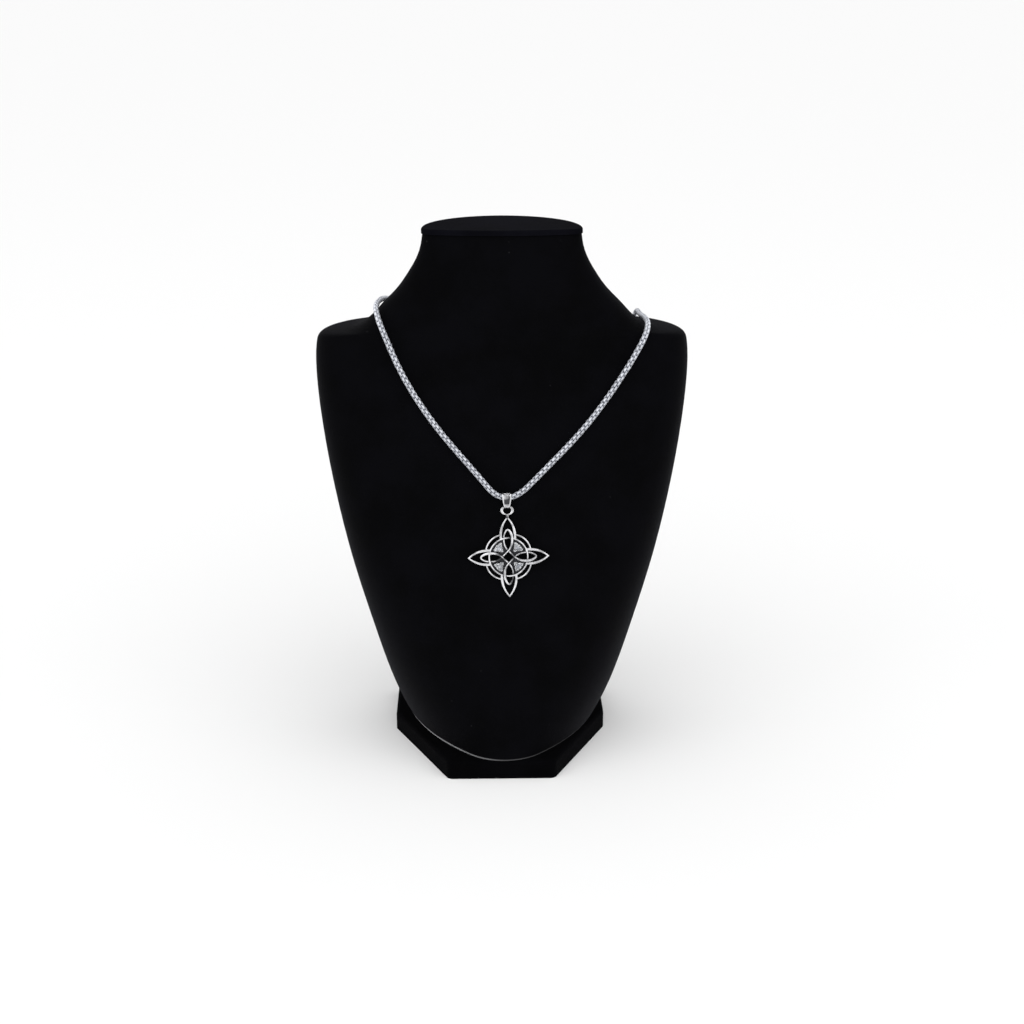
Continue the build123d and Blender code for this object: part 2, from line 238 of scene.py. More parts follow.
def mix_colour(tree, share, first, second):
    """A colour between two colours. A mix node has sockets A and B for each kind of data: the colours'
    are its inputs 6 and 7, and their result is its output 2."""
    node = tree.nodes.new("ShaderNodeMix")
    node.data_type = "RGBA"
    feed(tree, node, {"Factor": share, 6: first, 7: second})
    return node.outputs[2]


def bump(tree, height, distance, strength):
    """A bump node for a height between 0 and 1, with the real height of a full step in metres."""
    node = tree.nodes.new("ShaderNodeBump")
    feed(tree, node, {"Height": height, "Distance": distance, "Strength": strength})
    return node.outputs["Normal"]


# %% Worn metal group
def make_worn_metal():
    """Group of two noises on object coordinates: a slow one for tone and a fine one for grain."""
    group = bpy.data.node_groups.new("worn metal", "ShaderNodeTree")
    value_socket(group, "Tone Scale", "INPUT", 300.0)
    value_socket(group, "Grain Scale", "INPUT", 4000.0)
    value_socket(group, "Tone", "OUTPUT")
    value_socket(group, "Grain", "OUTPUT")
    inside = group.nodes.new("NodeGroupInput")
    outside = group.nodes.new("NodeGroupOutput")
    tone = ramp_between(group, noise(group, inside.outputs["Tone Scale"], detail=3.0), 0.35, 0.65)
    grain = noise(group, inside.outputs["Grain Scale"], detail=2.0)
    feed(group, outside, {"Tone": tone, "Grain": grain})
    return group


worn_metal = make_worn_metal()
print("groups:", worn_metal.name)


# %% Metals
def new_material(name):
    """An empty material, with its node tree and its shader."""
    material = bpy.data.materials.new(name)
    material.use_nodes = True
    tree = material.node_tree
    return material, tree, tree.nodes["Principled BSDF"]


def group_outputs(tree, group, sides):
    """The output sockets of a new node of a group, with its inputs filled."""
    node = tree.nodes.new("ShaderNodeGroup")
    node.node_tree = group
    feed(tree, node, sides)
    return node.outputs


def silver(name, bright, dark, roughness, dull_roughness, patchy, tone_scale, grain_scale):
    """Metal that is bright where it is worn and dark where the point value of patina and painted shade
    is high. patchy is how far the slow noise of the worn metal darkens it."""
    material, tree, shader = new_material(name)
    worn = group_outputs(tree, worn_metal, {"Tone Scale": tone_scale, "Grain Scale": grain_scale})
    patina_and_shade = tree.nodes.new("ShaderNodeAttribute")
    patina_and_shade.attribute_name = "patina_and_shade"
    uneven = math_node(tree, "MULTIPLY", worn["Tone"], patchy)
    dark_share = ramp_between(tree, math_node(tree, "ADD", patina_and_shade.outputs["Fac"], uneven), 0.25, 0.85)
    rough = ramp_between(tree, dark_share, 0.0, 1.0, roughness, dull_roughness)
    feed(tree, shader, {
        "Base Color": mix_colour(tree, dark_share, bright, dark),
        "Roughness": math_node(tree, "ADD", rough, math_node(tree, "MULTIPLY", worn["Tone"], 0.06)),
        "Metallic": 1.0,
        "Normal": bump(tree, worn["Grain"], 0.01 * mm, 0.6),
    })
    return material


cast_silver = silver(
    "cast silver",
    bright=(0.80, 0.80, 0.82, 1), dark=(0.04, 0.04, 0.045, 1),
    roughness=0.16, dull_roughness=0.5, patchy=0.52, tone_scale=350.0, grain_scale=5000.0,
)
strap_silver = silver(
    "strap silver",
    bright=(0.78, 0.78, 0.80, 1), dark=(0.07, 0.07, 0.075, 1),
    roughness=0.2, dull_roughness=0.5, patchy=0.40, tone_scale=400.0, grain_scale=5000.0,
)
# The dark tone is where painted shade falls, on the links' sides and inner faces
chain_steel = silver(
    "chain steel",
    bright=(0.72, 0.74, 0.79, 1), dark=(0.42, 0.43, 0.47, 1),
    roughness=0.46, dull_roughness=0.54, patchy=0.25, tone_scale=220.0, grain_scale=4000.0,
)
print("metals:", cast_silver.name, strap_silver.name, chain_steel.name)

# %% [markdown]
# ## The knot's own plane
#
# The pendant lies flat against the leaning chest, so its shape is drawn in a plane of
# its own: u across, v up the chest and w out of it. One small function carries a drawn
# point into the frame. The knot is four-fold, so one quarter is worked out and turned.

# %% Knot plane
front_lean = radians(11.3)
pendant_turn = radians(1.5)
pendant_centre = Vector((3.0, -25.448, 87.059)) * mm

chest_out = np.array([0, -cos(front_lean), sin(front_lean)])
chest_up = np.array([0, sin(front_lean), cos(front_lean)])
chest_across = np.array([1.0, 0, 0])
knot_across = cos(pendant_turn) * chest_across + sin(pendant_turn) * chest_up
knot_up = cos(pendant_turn) * chest_up - sin(pendant_turn) * chest_across


def on_chest(u, v, w):
    """Points of the knot's plane in the frame: centre + u across + v up + w out, from millimetres."""
    u, v, w = np.broadcast_arrays(u, v, w)
    moved = u[..., None] * knot_across + v[..., None] * knot_up + w[..., None] * chest_out
    return np.array(pendant_centre) + moved * mm


def turned(u, v, quarter):
    """A drawn point turned clockwise by a number of quarters."""
    angle = -quarter * pi / 2
    return u * cos(angle) - v * sin(angle), u * sin(angle) + v * cos(angle)


knot_low, knot_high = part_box("pendant_knot")
print("knot plane leans", round(degrees(front_lean), 1), "degrees")
print("the solid is", round((knot_high.x - knot_low.x) / mm, 1), "mm wide")

# %% [markdown]
# ## Cast strands
#
# A strand of the casting is flat behind and domed in front, with sides that fall away
# where the mould let go. Its profile is one closed loop of points. The width and the
# top's height change along the way: a strand swells and rises where it passes over
# another and thins and dips where it goes under. A point value is 1 low on the sides,
# where the dark finish stays, and 0 on the polished top.

# %% Strand profile
knot_thickness = 1.2
over_rise = 0.33
under_dip = 0.30
dome_points = 13
side_share = 0.42
back_half = 0.93
back_round = 0.06
dark_below = 0.35
bright_above = 0.85

dome = np.linspace(0, pi, dome_points)
dome_up = side_share + (1 - side_share) * np.sin(dome)
# The loop runs from the flat back's right corner over the dome to its left corner
profile_across = np.concatenate(([back_half, 1.0], np.cos(dome), [-1.0, -back_half]))
profile_up = np.concatenate(([0.0, back_round], dome_up, [back_round, 0.0]))
profile_sunken = 1 - np.clip((profile_up - dark_below) / (bright_above - dark_below), 0, 1)
print("strand profile of", len(profile_up), "points")


def hump(distance, reach):
    """1 at a place and 0 from a reach away, as half a cosine wave."""
    near = np.clip(np.abs(distance) / reach, 0, 1)
    return 0.5 * (1 + np.cos(pi * near))


def strand(shells, u, v, half_width, top, closed, patina_and_shade=0.0):
    """Sweeps the profile along a drawn line. Each point is the line, plus the profile's share of the
    half width across it, at the profile's share of the top's height."""
    if closed:
        along_u = np.roll(u, -1) - np.roll(u, 1)
        along_v = np.roll(v, -1) - np.roll(v, 1)
    else:
        along_u = np.gradient(u)
        along_v = np.gradient(v)
    length = np.hypot(along_u, along_v)
    side_u = along_v / length
    side_v = -along_u / length
    across = profile_across[None, :] * np.broadcast_to(half_width, u.shape)[:, None]
    height = profile_up[None, :] * np.broadcast_to(top, u.shape)[:, None]
    grid = on_chest(u[:, None] + side_u[:, None] * across, v[:, None] + side_v[:, None] * across, height)
    dark = np.clip(profile_sunken[None, :] + np.broadcast_to(patina_and_shade, u.shape)[:, None], 0, 1)
    shells.add(grid, dark, closed)


# %% [markdown]
# ## The ring and the inner strand
#
# The inner strand is one endless line. From a crossing beside the open middle it
# bends up into a lobe, rounds the tip, comes back to the crossing and runs straight on
# to the next one. Each lobe has a stout side and a slim side. The stout side passes over
# the lobe's own crossing and over the ring, and the slim side passes under both.
# Distances along the line say where each hump and dip lies.

# %% Lines of the ring and the lobes
ring_radius = 7.4
crossing_radius = 2.45
lobe_half_width = 1.6
lobe_shoulder = 7.2
lobe_side_radius = 5.1
lobe_tip_radius = 0.7
bend_radius = lobe_half_width / (1 - cos(pi / 4))
bend_offset = crossing_radius + bend_radius * sin(pi / 4)
thin_half = 0.39
wide_half = 0.60
ring_half = 0.40
weave_reach = 1.5
lobe_over_reach = 2.6
ring_over_reach = 2.4
wide_reach = 6.0
under_thinning = 0.04
ring_swell = 0.06
slim_dull = 0.25
under_dull = 0.45
ring_under_dull = 0.5
ring_in_lobe_dull = 0.35
quarter_points = 180


def arc(centre_u, centre_v, radius, start, end, steps):
    """Points of an arc from a start to an end angle in degrees, without its last point."""
    angle = np.radians(np.linspace(start, end, steps, endpoint=False))
    return centre_u + radius * np.cos(angle), centre_v + radius * np.sin(angle)


def inner_quarter():
    """One quarter of the inner strand, evenly spaced: three arcs up one side of the lobe and over its
    tip, the same three down the other side, and the straight run to the next crossing."""
    inset = lobe_side_radius - lobe_half_width
    tip_turn = acos(inset / (lobe_side_radius - lobe_tip_radius))
    tip_centre = lobe_shoulder + (lobe_side_radius - lobe_tip_radius) * sin(tip_turn)
    rise = arc(lobe_half_width - bend_radius, bend_offset, bend_radius, -45, 0, 30)
    narrow = arc(-inset, lobe_shoulder, lobe_side_radius, 0, degrees(tip_turn), 30)
    tip = arc(0, tip_centre, lobe_tip_radius, degrees(tip_turn), 90, 20)
    half_u = np.concatenate((rise[0], narrow[0], tip[0]))
    half_v = np.concatenate((rise[1], narrow[1], tip[1]))
    u = np.concatenate((half_u, [0.0], -half_u[::-1], [crossing_radius]))
    v = np.concatenate((half_v, [tip_centre + lobe_tip_radius], half_v[::-1], [0.0]))
    reach = np.concatenate(([0.0], np.cumsum(np.hypot(np.diff(u), np.diff(v)))))
    even = np.linspace(0, reach[-1], quarter_points, endpoint=False)
    return np.interp(even, reach, u), np.interp(even, reach, v), even, reach[-1]


def near_place(u, v, reach, place_u, place_v, last):
    """Distance along the quarter from each of its points to the point nearest a place."""
    nearest = reach[np.argmin(np.hypot(u - place_u, v - place_v))]
    apart = np.abs(reach - nearest)
    return np.minimum(apart, last - apart)


# %% Inner strand
ring_crossing = sqrt(ring_radius ** 2 - lobe_half_width ** 2)
lobe_u, lobe_v, lobe_along, lobe_length = inner_quarter()
over_ring = near_place(lobe_u, lobe_v, lobe_along, lobe_half_width, ring_crossing, lobe_length)
under_ring = near_place(lobe_u, lobe_v, lobe_along, -lobe_half_width, ring_crossing, lobe_length)
crossings = np.minimum(lobe_along, lobe_length - lobe_along)
straight_run = hypot(crossing_radius, crossing_radius)
under_crossing = np.abs(lobe_along - (lobe_length - straight_run))
lobe_top = (
    knot_thickness
    + over_rise * hump(over_ring, lobe_over_reach)
    + over_rise * hump(crossings, weave_reach)
    - under_dip * hump(under_ring, weave_reach)
    - under_dip * hump(under_crossing, weave_reach)
)
wide_side = hump(over_ring, wide_reach)
lobe_half = thin_half + (wide_half - thin_half) * wide_side - under_thinning * hump(under_ring, weave_reach)
dull_places = hump(under_ring, 1.0) + hump(under_crossing, 0.9)
lobe_dull = slim_dull * (1 - wide_side) + under_dull * dull_places

knot = Shells()
quarters = [turned(lobe_u, lobe_v, quarter) for quarter in range(4)]
strand(
    knot,
    np.concatenate([u for u, v in quarters]),
    np.concatenate([v for u, v in quarters]),
    np.tile(lobe_half, 4),
    np.tile(lobe_top, 4),
    closed=True,
    patina_and_shade=np.tile(lobe_dull, 4),
)
print("inner strand", round(4 * lobe_length, 1), "mm long")

# %% Ring
ring_angle = np.linspace(0, 2 * pi, 480, endpoint=False)
quarter_angle = np.degrees(ring_angle) % 90
meet_angle = degrees(atan2(lobe_half_width, ring_crossing))
ring_over = np.radians(quarter_angle - meet_angle) * ring_radius
ring_under = np.radians(quarter_angle - (90 - meet_angle)) * ring_radius
ring_rise = hump(ring_over, ring_over_reach)
in_upper_lobe = hump((ring_angle - pi / 2) * ring_radius, lobe_half_width)
strand(
    knot,
    ring_radius * np.cos(ring_angle),
    ring_radius * np.sin(ring_angle),
    ring_half + ring_swell * ring_rise,
    knot_thickness + over_rise * ring_rise - under_dip * hump(ring_under, weave_reach),
    closed=True,
    patina_and_shade=ring_under_dull * hump(ring_under, 1.0) + ring_in_lobe_dull * in_upper_lobe,
)
print("ring", round(2 * pi * ring_radius, 1), "mm round")

# %% [markdown]
# ## The pointed loops and the outer arcs
#
# Each outer loop rises straight from the ring and closes in two arcs that meet in a
# sharp point. If a profile were swept round that point it would fold over itself.
# Instead, every line of the profile has its own arc, moved outwards by its share of the
# width, and each of these arcs ends exactly on the middle plane, which gives a clean
# mitre. The loops are stout where they are widest and fine at the point.

# %% Pointed loops
tip_span = 32.0
loop_half_width = 2.75
loop_foot = sqrt(ring_radius ** 2 - loop_half_width ** 2)
loop_shoulder = 8.0
loop_tip_inset = 0.75
loop_tip = tip_span / 2 - loop_tip_inset
loop_radius = (loop_half_width ** 2 + (loop_tip - loop_shoulder) ** 2) / (2 * loop_half_width)
loop_inset = loop_radius - loop_half_width
loop_steps = 49
straight_share = 0.125
loop_stout = 0.19
loop_stout_at = 0.25
loop_stout_reach = 0.7
loop_crown = 0.12
loop_crown_at = 0.12
loop_crown_reach = 0.5
loop_fall = 0.15


def pointed_loop(shells, quarter):
    """Half a loop runs straight up beside the middle plane, and then it is: centre (-inset, shoulder) +
    (radius + g) at an angle from 0 to acos(inset / (radius + g)), where g is the profile's share of the
    half width. The other half is its mirror image."""
    rise = np.linspace(0, 1, loop_steps)[:, None]
    upright = np.clip(rise / straight_share, 0, 1)
    bent = np.clip((rise - straight_share) / (1 - straight_share), 0, 1)
    half_width = ring_half + loop_stout * hump(rise - loop_stout_at, loop_stout_reach)
    moved = loop_radius + profile_across[None, :] * half_width
    angle = bent * np.arccos(loop_inset / moved)
    u = moved * np.cos(angle) - loop_inset
    v = loop_foot + (loop_shoulder - loop_foot) * upright + moved * np.sin(angle)
    top = knot_thickness - loop_fall * rise + loop_crown * hump(rise - loop_crown_at, loop_crown_reach)
    half = np.stack((u, v, profile_up[None, :] * top), axis=-1)
    mirror_image = half[::-1][1:] * (-1, 1, 1)
    u, v, w = np.moveaxis(np.concatenate((half, mirror_image)), -1, 0)
    u, v = turned(u, v, quarter)
    shells.add(on_chest(u, v, w), profile_sunken[None, :], closed=False)


# %% Outer arcs
outer_arc_radius = 9.35
outer_arc_end = 8.6
outer_arc_half = 0.36
outer_arc_top = 1.0


def outer_arc(shells, quarter):
    """An arc about the knot's centre from beside one loop to beside the next. Its radius, width and top
    swell by a half sine wave towards its middle."""
    start = atan2(outer_arc_end, loop_half_width)
    end = atan2(loop_half_width, outer_arc_end)
    share = np.linspace(0, 1, 60)
    swell = np.sin(pi * share)
    angle = start + (end - start) * share
    end_radius = hypot(loop_half_width, outer_arc_end)
    radius = end_radius + (outer_arc_radius - end_radius) * swell
    u, v = turned(radius * np.cos(angle), radius * np.sin(angle), quarter)
    strand(shells, u, v, outer_arc_half + 0.05 * swell, outer_arc_top + 0.1 * swell, closed=False)


for quarter in range(4):
    pointed_loop(knot, quarter)
    outer_arc(knot, quarter)
print("loops reach", round(loop_tip + loop_tip_inset, 1), "mm from the middle")

# %% [markdown]
# ## The eye, its neck and the floors under the stones
#
# The eye is a ring with stout sides and a thin top and bottom. A point on it lies
# between an inner and an outer ellipse, and how far depends on the profile. A short
# waisted neck joins it to the upper loop. The four floors close the cells that hold
# the stones. They are bright under each stone, to light it from behind, and dark
# round it, a painted shadow groove in which the stone stands.

# %% Eye, neck and floors
eye_offset = 18.1
eye_outer = (2.6, 1.9)
eye_hole = (1.5, 1.3)
eye_thickness = 0.7
eye_dull = 0.45
neck_foot = 14.7
neck_length = 2.0
neck_waist = 0.62
neck_flare = 0.30
neck_top = 1.05
neck_rise = 0.35
floor_thickness = 0.4
floor_back = 0.02
strap_thickness = 0.35
eye_clearance = 0.25
bar_half = hypot(eye_thickness, eye_outer[1] - eye_hole[1]) / 2
bail_foot_radius = bar_half + eye_clearance
bar_lift = bail_foot_radius + strap_thickness


def eye_ring(shells):
    """A point lies at the share (1 + cos t) / 2 from the hole's ellipse to the outer one, at the
    height half the thickness times sin t."""
    angle = np.linspace(0, 2 * pi, 96, endpoint=False)[:, None]
    turn = np.linspace(0, 2 * pi, 16, endpoint=False)[None, :]
    share = (1 + np.cos(turn)) / 2
    half_u = eye_hole[0] + (eye_outer[0] - eye_hole[0]) * share
    half_v = eye_hole[1] + (eye_outer[1] - eye_hole[1]) * share
    u = half_u * np.cos(angle)
    v = eye_offset + half_v * np.sin(angle)
    w = bar_lift + eye_thickness / 2 * np.sin(turn)
    shells.add(on_chest(u, v, w), eye_dull * np.sin(angle) ** 4)


def neck(shells):
    """A straight strand whose half width follows a shallow waist."""
    share = np.linspace(0, 1, 20)
    v = neck_foot + neck_length * share
    half = neck_waist + neck_flare * (2 * share - 1) ** 2
    strand(shells, 0 * share, v, half, neck_top + neck_rise * share, closed=False, patina_and_shade=slim_dull)


def cell_floor(shells, quarter):
    """A plate whose outline is an arc of the ring and two sides that follow the lobes. Its top is made
    of the same outline, drawn in by shares, to be bright under the stone and painted dark at the edge,
    as a shadow groove round it."""
    reach = degrees(atan2(ring_crossing, lobe_half_width))
    outer = arc(0, 0, ring_radius, reach, 90 - reach, 24)
    lower = arc(bend_offset, lobe_half_width - bend_radius, bend_radius, 90, 135, 14)
    upper = arc(lobe_half_width - bend_radius, bend_offset, bend_radius, -45, 0, 14)
    u = np.concatenate((outer[0], [ring_crossing], lower[0], [crossing_radius], upper[0]))
    v = np.concatenate((outer[1], [lobe_half_width], lower[1], [0.0], upper[1]))
    u, v = turned(u, v, quarter)
    middle_u, middle_v = u.mean(), v.mean()
    share = np.array([1.0, 1.0, 0.55, 0.42, 0.05])[:, None]
    height = np.array([floor_back] + 4 * [floor_thickness])[:, None]
    # Painted shadow: the floor's outer rings are dark, as a groove of shade round the stone
    patina_and_shade = np.array([1.0, 1.0, 1.0, 0.25, 0.25])[:, None]
    rings = on_chest(middle_u + share * (u - middle_u), middle_v + share * (v - middle_v), height)
    shells.add(rings, patina_and_shade, closed=False)


eye_ring(knot)
neck(knot)
for quarter in range(4):
    cell_floor(knot, quarter)

knot_piece = knot.to_object("knot_casting", sharp_degrees=50)
knot_piece.data.materials.append(cast_silver)
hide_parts("pendant_knot")

# %% [markdown]
# ## The stones
#
# Each stone is a three-cornered cut. Its corners are taken off and its outer side is
# bent once, so its girdle has seven sides. Above the girdle a ring of star facets leads
# to the flat table, and below it the pavilion narrows to a small culet. A real cut looks
# lively because facets that touch never lie in one plane, so each ring of points is set
# half a step on from the one below, apart from the girdle's own two rings. The facets
# are left flat, with no smoothing.

# %% Stone shape
stone_inner = 2.6
stone_outer = 6.45
stone_spread = 45.0
stone_corner = 0.5
stone_seat = 0.45
stone_height = 1.1


def stone_girdle():
    """The seven corners of the girdle in the upper right cell, as an array of u and v, and its middle."""

    def at(radius, angle):
        """The point at a radius and an angle."""
        return radius * np.array((cos(angle), sin(angle)))

    half = radians(stone_spread / 2)
    inner = at(stone_inner, pi / 4)
    left = at(stone_outer, pi / 4 + half)
    right = at(stone_outer, pi / 4 - half)
    far = at(stone_outer, pi / 4)

    def step(start, end):
        """The point at the corner's cut from a start towards an end."""
        return start + (end - start) * stone_corner / np.linalg.norm(end - start)

    right_side = (step(inner, right), step(right, inner), step(right, far))
    left_side = (step(left, far), step(left, inner), step(inner, left))
    return np.array((*right_side, far, *left_side)), (inner + left + right) / 3


def cut_stone(name, quarter):
    """Rings of points: culet, pavilion break, two of the girdle, star and table. Each is the girdle or
    its edges' middles, drawn in about the stone's middle by a share, at a share of the height."""
    corners, middle = stone_girdle()
    edges = (corners + np.roll(corners, -1, axis=0)) / 2
    rings = (
        (corners, 0.10, 0.00),
        (edges, 0.62, 0.24),
        (corners, 1.00, 0.50),
        (corners, 1.00, 0.57),
        (edges, 0.84, 0.80),
        (corners, 0.58, 1.00),
    )
    points = []
    for base, share, rise in rings:
        ring = middle + share * (base - middle)
        u, v = turned(ring[:, 0], ring[:, 1], quarter)
        points.append(on_chest(u, v, stone_seat + rise * stone_height))
    numbers = np.arange(len(rings) * len(corners)).reshape(len(rings), -1)
    culet, pavilion, low, high, star, table = numbers
    culet_next, pavilion_next, low_next, high_next, star_next, table_next = np.roll(numbers, -1, axis=1)
    triangles = (
        (culet, culet_next, pavilion),
        (culet_next, pavilion_next, pavilion),
        (pavilion, low_next, low),
        (pavilion, pavilion_next, low_next),
        (high, high_next, star),
        (high_next, star_next, star),
        (star, table_next, table),
        (star, star_next, table_next),
    )
    faces = np.concatenate([np.column_stack(ring) for ring in triangles]).tolist()
    faces += np.column_stack((low, low_next, high_next, high)).tolist()
    faces += [culet[::-1].tolist(), table.tolist()]
    mesh = bpy.data.meshes.new(name)
    mesh.from_pydata(np.concatenate(points).tolist(), [], faces)
    mesh.validate()
    made = add_object(name, mesh)
    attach(made, "root")
    return made


# %% Four stones
def clear_stone():
    """Glass with a high refractive index, in grey and clear patches that stand for small reflections."""
    material, tree, shader = new_material("clear stone")
    share = ramp_between(tree, noise(tree, scale=950.0, detail=1.0), 0.44, 0.56)
    tone = mix_colour(tree, share, (0.50, 0.52, 0.56, 1), (0.97, 0.98, 1.0, 1))
    feed(tree, shader, {"Base Color": tone, "Roughness": 0.02, "IOR": 2.0, "Transmission Weight": 1.0})
    return material


stone_glass = clear_stone()
stone_cells = {
    "stone_upper_right": 0,
    "stone_lower_right": 1,
    "stone_lower_left": 2,
    "stone_upper_left": 3,
}
for name, quarter in stone_cells.items():
    piece = cut_stone("cut_" + name, quarter)
    piece.data.materials.append(stone_glass)
    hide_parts(name)
    print(piece.name, "has", len(piece.data.polygons), "facets")

# %% [markdown]
# ## The bail
#
# The bail is one strap bent into a closed band round the eye's top bar and round the
# chain. Seen from the side, the band is the hull of two circles, so for each direction
# the point furthest that way is taken from whichever circle reaches further. Across
# its width the strap has two raised rims and a recessed, darkened middle. The darkening
# is partly patina in the recess and partly painted shade: it changes with the height on
# the strap, and painted shade also covers the whole foot, where the strap curls under
# round the bar, and the band's inner face. Where it turns over the chain, rows of small
# grains are raised on it.

# %% The bail's side view
strap_clearance = 0.3
chain_diameter = 2.3
bar_offset = eye_offset + (eye_outer[1] + eye_hole[1]) / 2
bail_head_radius = chain_diameter / 2 + strap_clearance
chain_lift = bail_head_radius + strap_thickness
bail_length = 3.5
chain_offset = bar_offset + bail_length


def bail_line(steps):
    """The band's inner line, evenly spaced, with its outward directions: the further of
    centre·n + radius over the two circles, for each direction n."""
    angle = np.linspace(0, 2 * pi, 720, endpoint=False)
    out_w = np.cos(angle)
    out_v = np.sin(angle)
    low_reach = bar_lift * out_w + bar_offset * out_v + bail_foot_radius
    high_reach = chain_lift * out_w + chain_offset * out_v + bail_head_radius
    high = high_reach > low_reach
    radius = np.where(high, bail_head_radius, bail_foot_radius)
    w = np.where(high, chain_lift, bar_lift) + radius * out_w
    v = np.where(high, chain_offset, bar_offset) + radius * out_v
    step = np.hypot(np.roll(w, -1) - w, np.roll(v, -1) - v)
    reach = np.concatenate(([0.0], np.cumsum(step)))
    even = np.linspace(0, reach[-1], steps, endpoint=False)
    around = [np.interp(even, reach, np.append(line, line[0])) for line in (w, v, out_w, out_v)]
    length = np.hypot(around[2], around[3])
    return around[0], around[1], around[2] / length, around[3] / length


# %% Strap
strap_heights = [eye_offset, eye_offset + 1.3, eye_offset + 1.9, chain_offset]
strap_halves = [0.8, 0.8, 1.2, 1.75]
strap_across = np.array([-1, -1, -0.94, -0.76, -0.66, -0.3, 0.3, 0.66, 0.76, 0.94, 1, 1, 0.95, -0.95])
strap_out = np.array([0.02, 0.29, 0.35, 0.35, 0.2, 0.18, 0.18, 0.2, 0.35, 0.35, 0.29, 0.02, 0.0, 0.0])
# The recessed middle is darkened with patina, and the inner face, the last two points, with painted shade
strap_patina_and_shade = np.array([0, 0, 0, 0, 1, 1, 1, 1, 0, 0, 0, 0, 0.4, 0.4])
face_heights = [0.0, 0.1, 0.9, 1.2, 2.2, 3.6, 4.2]
# How dark the middle is at each height above the bar: partly patina, partly painted shade
face_patina_and_shade = [0.2, 0.2, 0.4, 1.0, 0.9, 0.4, 0.7]

line_w, line_v, out_w, out_v = bail_line(160)
half = np.interp(line_v, strap_heights, strap_halves)
above_bar = line_v - bar_offset
middle_patina_and_shade = np.interp(above_bar, face_heights, face_patina_and_shade)
# Painted shade: the whole foot, where the strap curls under round the bar, is made dark
foot_painted_shade = np.interp(above_bar, [-0.6, -0.2], [1.0, 0.0])
bail = Shells()
bail_grid = on_chest(
    strap_across[None, :] * half[:, None],
    line_v[:, None] + out_v[:, None] * strap_out[None, :],
    line_w[:, None] + out_w[:, None] * strap_out[None, :],
)
bail.add(bail_grid, np.maximum(strap_patina_and_shade[None, :] * middle_patina_and_shade[:, None], foot_painted_shade[:, None]))
print("strap", round(2 * strap_halves[0], 1), "to", round(2 * strap_halves[-1], 1), "mm wide")

# %% Grains on the bail
# Each row has an angle in degrees above straight out of the chest, and a number of grains
grain_rows = ((28.0, 4), (50.0, 3), (72.0, 4))
grain_half = (0.30, 0.24, 0.17)
grain_pitch = 0.62
grain_pole = 0.05
face_out = 0.18


def grain(shells, u, angle):
    """A small dome: an ellipsoid whose middle lies on the strap's sunken face."""
    around = np.linspace(0, 2 * pi, 12, endpoint=False)[None, :]
    down = np.linspace(grain_pole, pi - grain_pole, 7)[:, None]
    local_u = grain_half[0] * np.sin(down) * np.cos(around)
    local_t = grain_half[1] * np.sin(down) * np.sin(around)
    radius = bail_head_radius + face_out + grain_half[2] * np.cos(down)
    out = (cos(radians(angle)), sin(radians(angle)))
    w = chain_lift + radius * out[0] - local_t * out[1]
    v = chain_offset + radius * out[1] + local_t * out[0]
    shells.add(on_chest(u + local_u, v, w), 0.0, closed=False)


for angle, count in grain_rows:
    for u in (np.arange(count) - (count - 1) / 2) * grain_pitch:
        grain(bail, u, angle)
bail_piece = bail.to_object("bail_strap", sharp_degrees=45)
bail_piece.data.materials.append(strap_silver)
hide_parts("bail")

# %% [markdown]
# ## The chain's line
#
# The route is the list of points that the CAD model's tube follows, in metres. A NURBS
# curve of order 3 with these as its control points touches each run at its middle,
# as the tube does. Blender works the curve out, and its points are read back as an
# evaluated mesh.

# %% Chain route
chain_route = np.array([
    (-4.5, 35.9, 87.4),
    (-11.0, 35.9, 87.4),
    (-18.5, 35.5, 92.5),
    (-26.5, 34.6, 108.0),
    (-33.0, 33.9, 130.0),
    (-37.0, 33.4, 152.0),
    (-39.5, 33.3, 169.5),
    (-42.0, 28.0, 176.0),
    (-44.9, 17.5, 179.0),
    (-47.0, 6.0, 179.4),
    (-46.8, -1.4, 177.4),
    (-43.9, -7.5, 170.9),
    (-36.6, -11.5, 154.2),
    (-24.8, -15.9, 136.4),
    (-8.7, -20.7, 118.5),
    (-1.5, -22.8, 110.0),
    (6.3, -22.8, 110.1),
    (15.0, -20.6, 118.3),
    (33.2, -15.4, 136.0),
    (46.8, -10.1, 154.2),
    (55.0, -8.0, 168.3),
    (56.9, -2.0, 172.6),
    (56.5, 8.0, 172.9),
    (55.6, 16.2, 171.9),
    (54.9, 31.9, 171.4),
    (53.2, 31.8, 156.0),
    (49.5, 32.4, 140.0),
    (42.5, 33.4, 119.0),
    (32.5, 34.4, 101.5),
    (21.0, 35.4, 90.5),
    (11.0, 35.9, 87.4),
    (4.5, 35.9, 87.4),
]) * mm


def smooth_line(route):
    """The points of a NURBS curve through a route's control points, as an array."""
    curve = bpy.data.curves.new("route", "CURVE")
    curve.dimensions = "3D"
    spline = curve.splines.new("NURBS")
    spline.points.add(len(route) - 1)
    spline.points.foreach_set("co", np.column_stack((route, np.ones(len(route)))).ravel())
    spline.order_u = 3
    spline.use_endpoint_u = True
    spline.resolution_u = 24
    made = add_object("route", curve)
    bpy.context.view_layer.update()
    mesh = bpy.data.meshes.new_from_object(made)
    line = np.zeros(3 * len(mesh.vertices))
    mesh.vertices.foreach_get("co", line)
    bpy.data.objects.remove(made)
    bpy.data.meshes.remove(mesh)
    return line.reshape(-1, 3)


chain_line = smooth_line(chain_route)
chain_reach = np.concatenate(([0.0], np.cumsum(np.linalg.norm(np.diff(chain_line, axis=0), axis=1))))
print("chain line", round(chain_reach[-1] / mm, 1), "mm long,", len(chain_line), "points")

# %% [markdown]
# ## The links
#
# A box chain is made of square frames of flat band. Each frame hangs in the next one
# at a right angle, so the chain shows a closed face on one side and an open one on the
# side beside it. Lying on the chest, the chain shows an edge to the viewer: two
# rows of bright dashes that take turns. One link is a grid of eight points along its
# frame and seven round its band, and one array sum places all of them.

